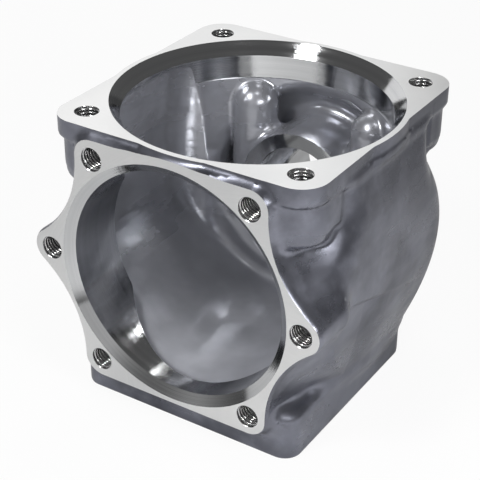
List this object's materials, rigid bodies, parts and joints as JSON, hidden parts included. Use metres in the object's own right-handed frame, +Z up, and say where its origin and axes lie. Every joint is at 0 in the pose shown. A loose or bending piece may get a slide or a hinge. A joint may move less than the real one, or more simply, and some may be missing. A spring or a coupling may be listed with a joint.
{
  "type": "compressor block",
  "caption": "One-piece cast crankcase block with a square machined top flange, a lobed front flange and a round bore through each.",
  "frame": {"origin": "on the flat underside of the foot, straight under the axis of the top bore", "axes": "+Z up along the cylinder axis, -Y out of the front bore along the crank axis, +X to the right seen from the front"},
  "size_m": [0.1392, 0.137, 0.13],
  "materials": {
    "block": "cast with machined faces"
  },
  "bodies": {
    "root": {"block": "block"}
  },
  "joints": []
}
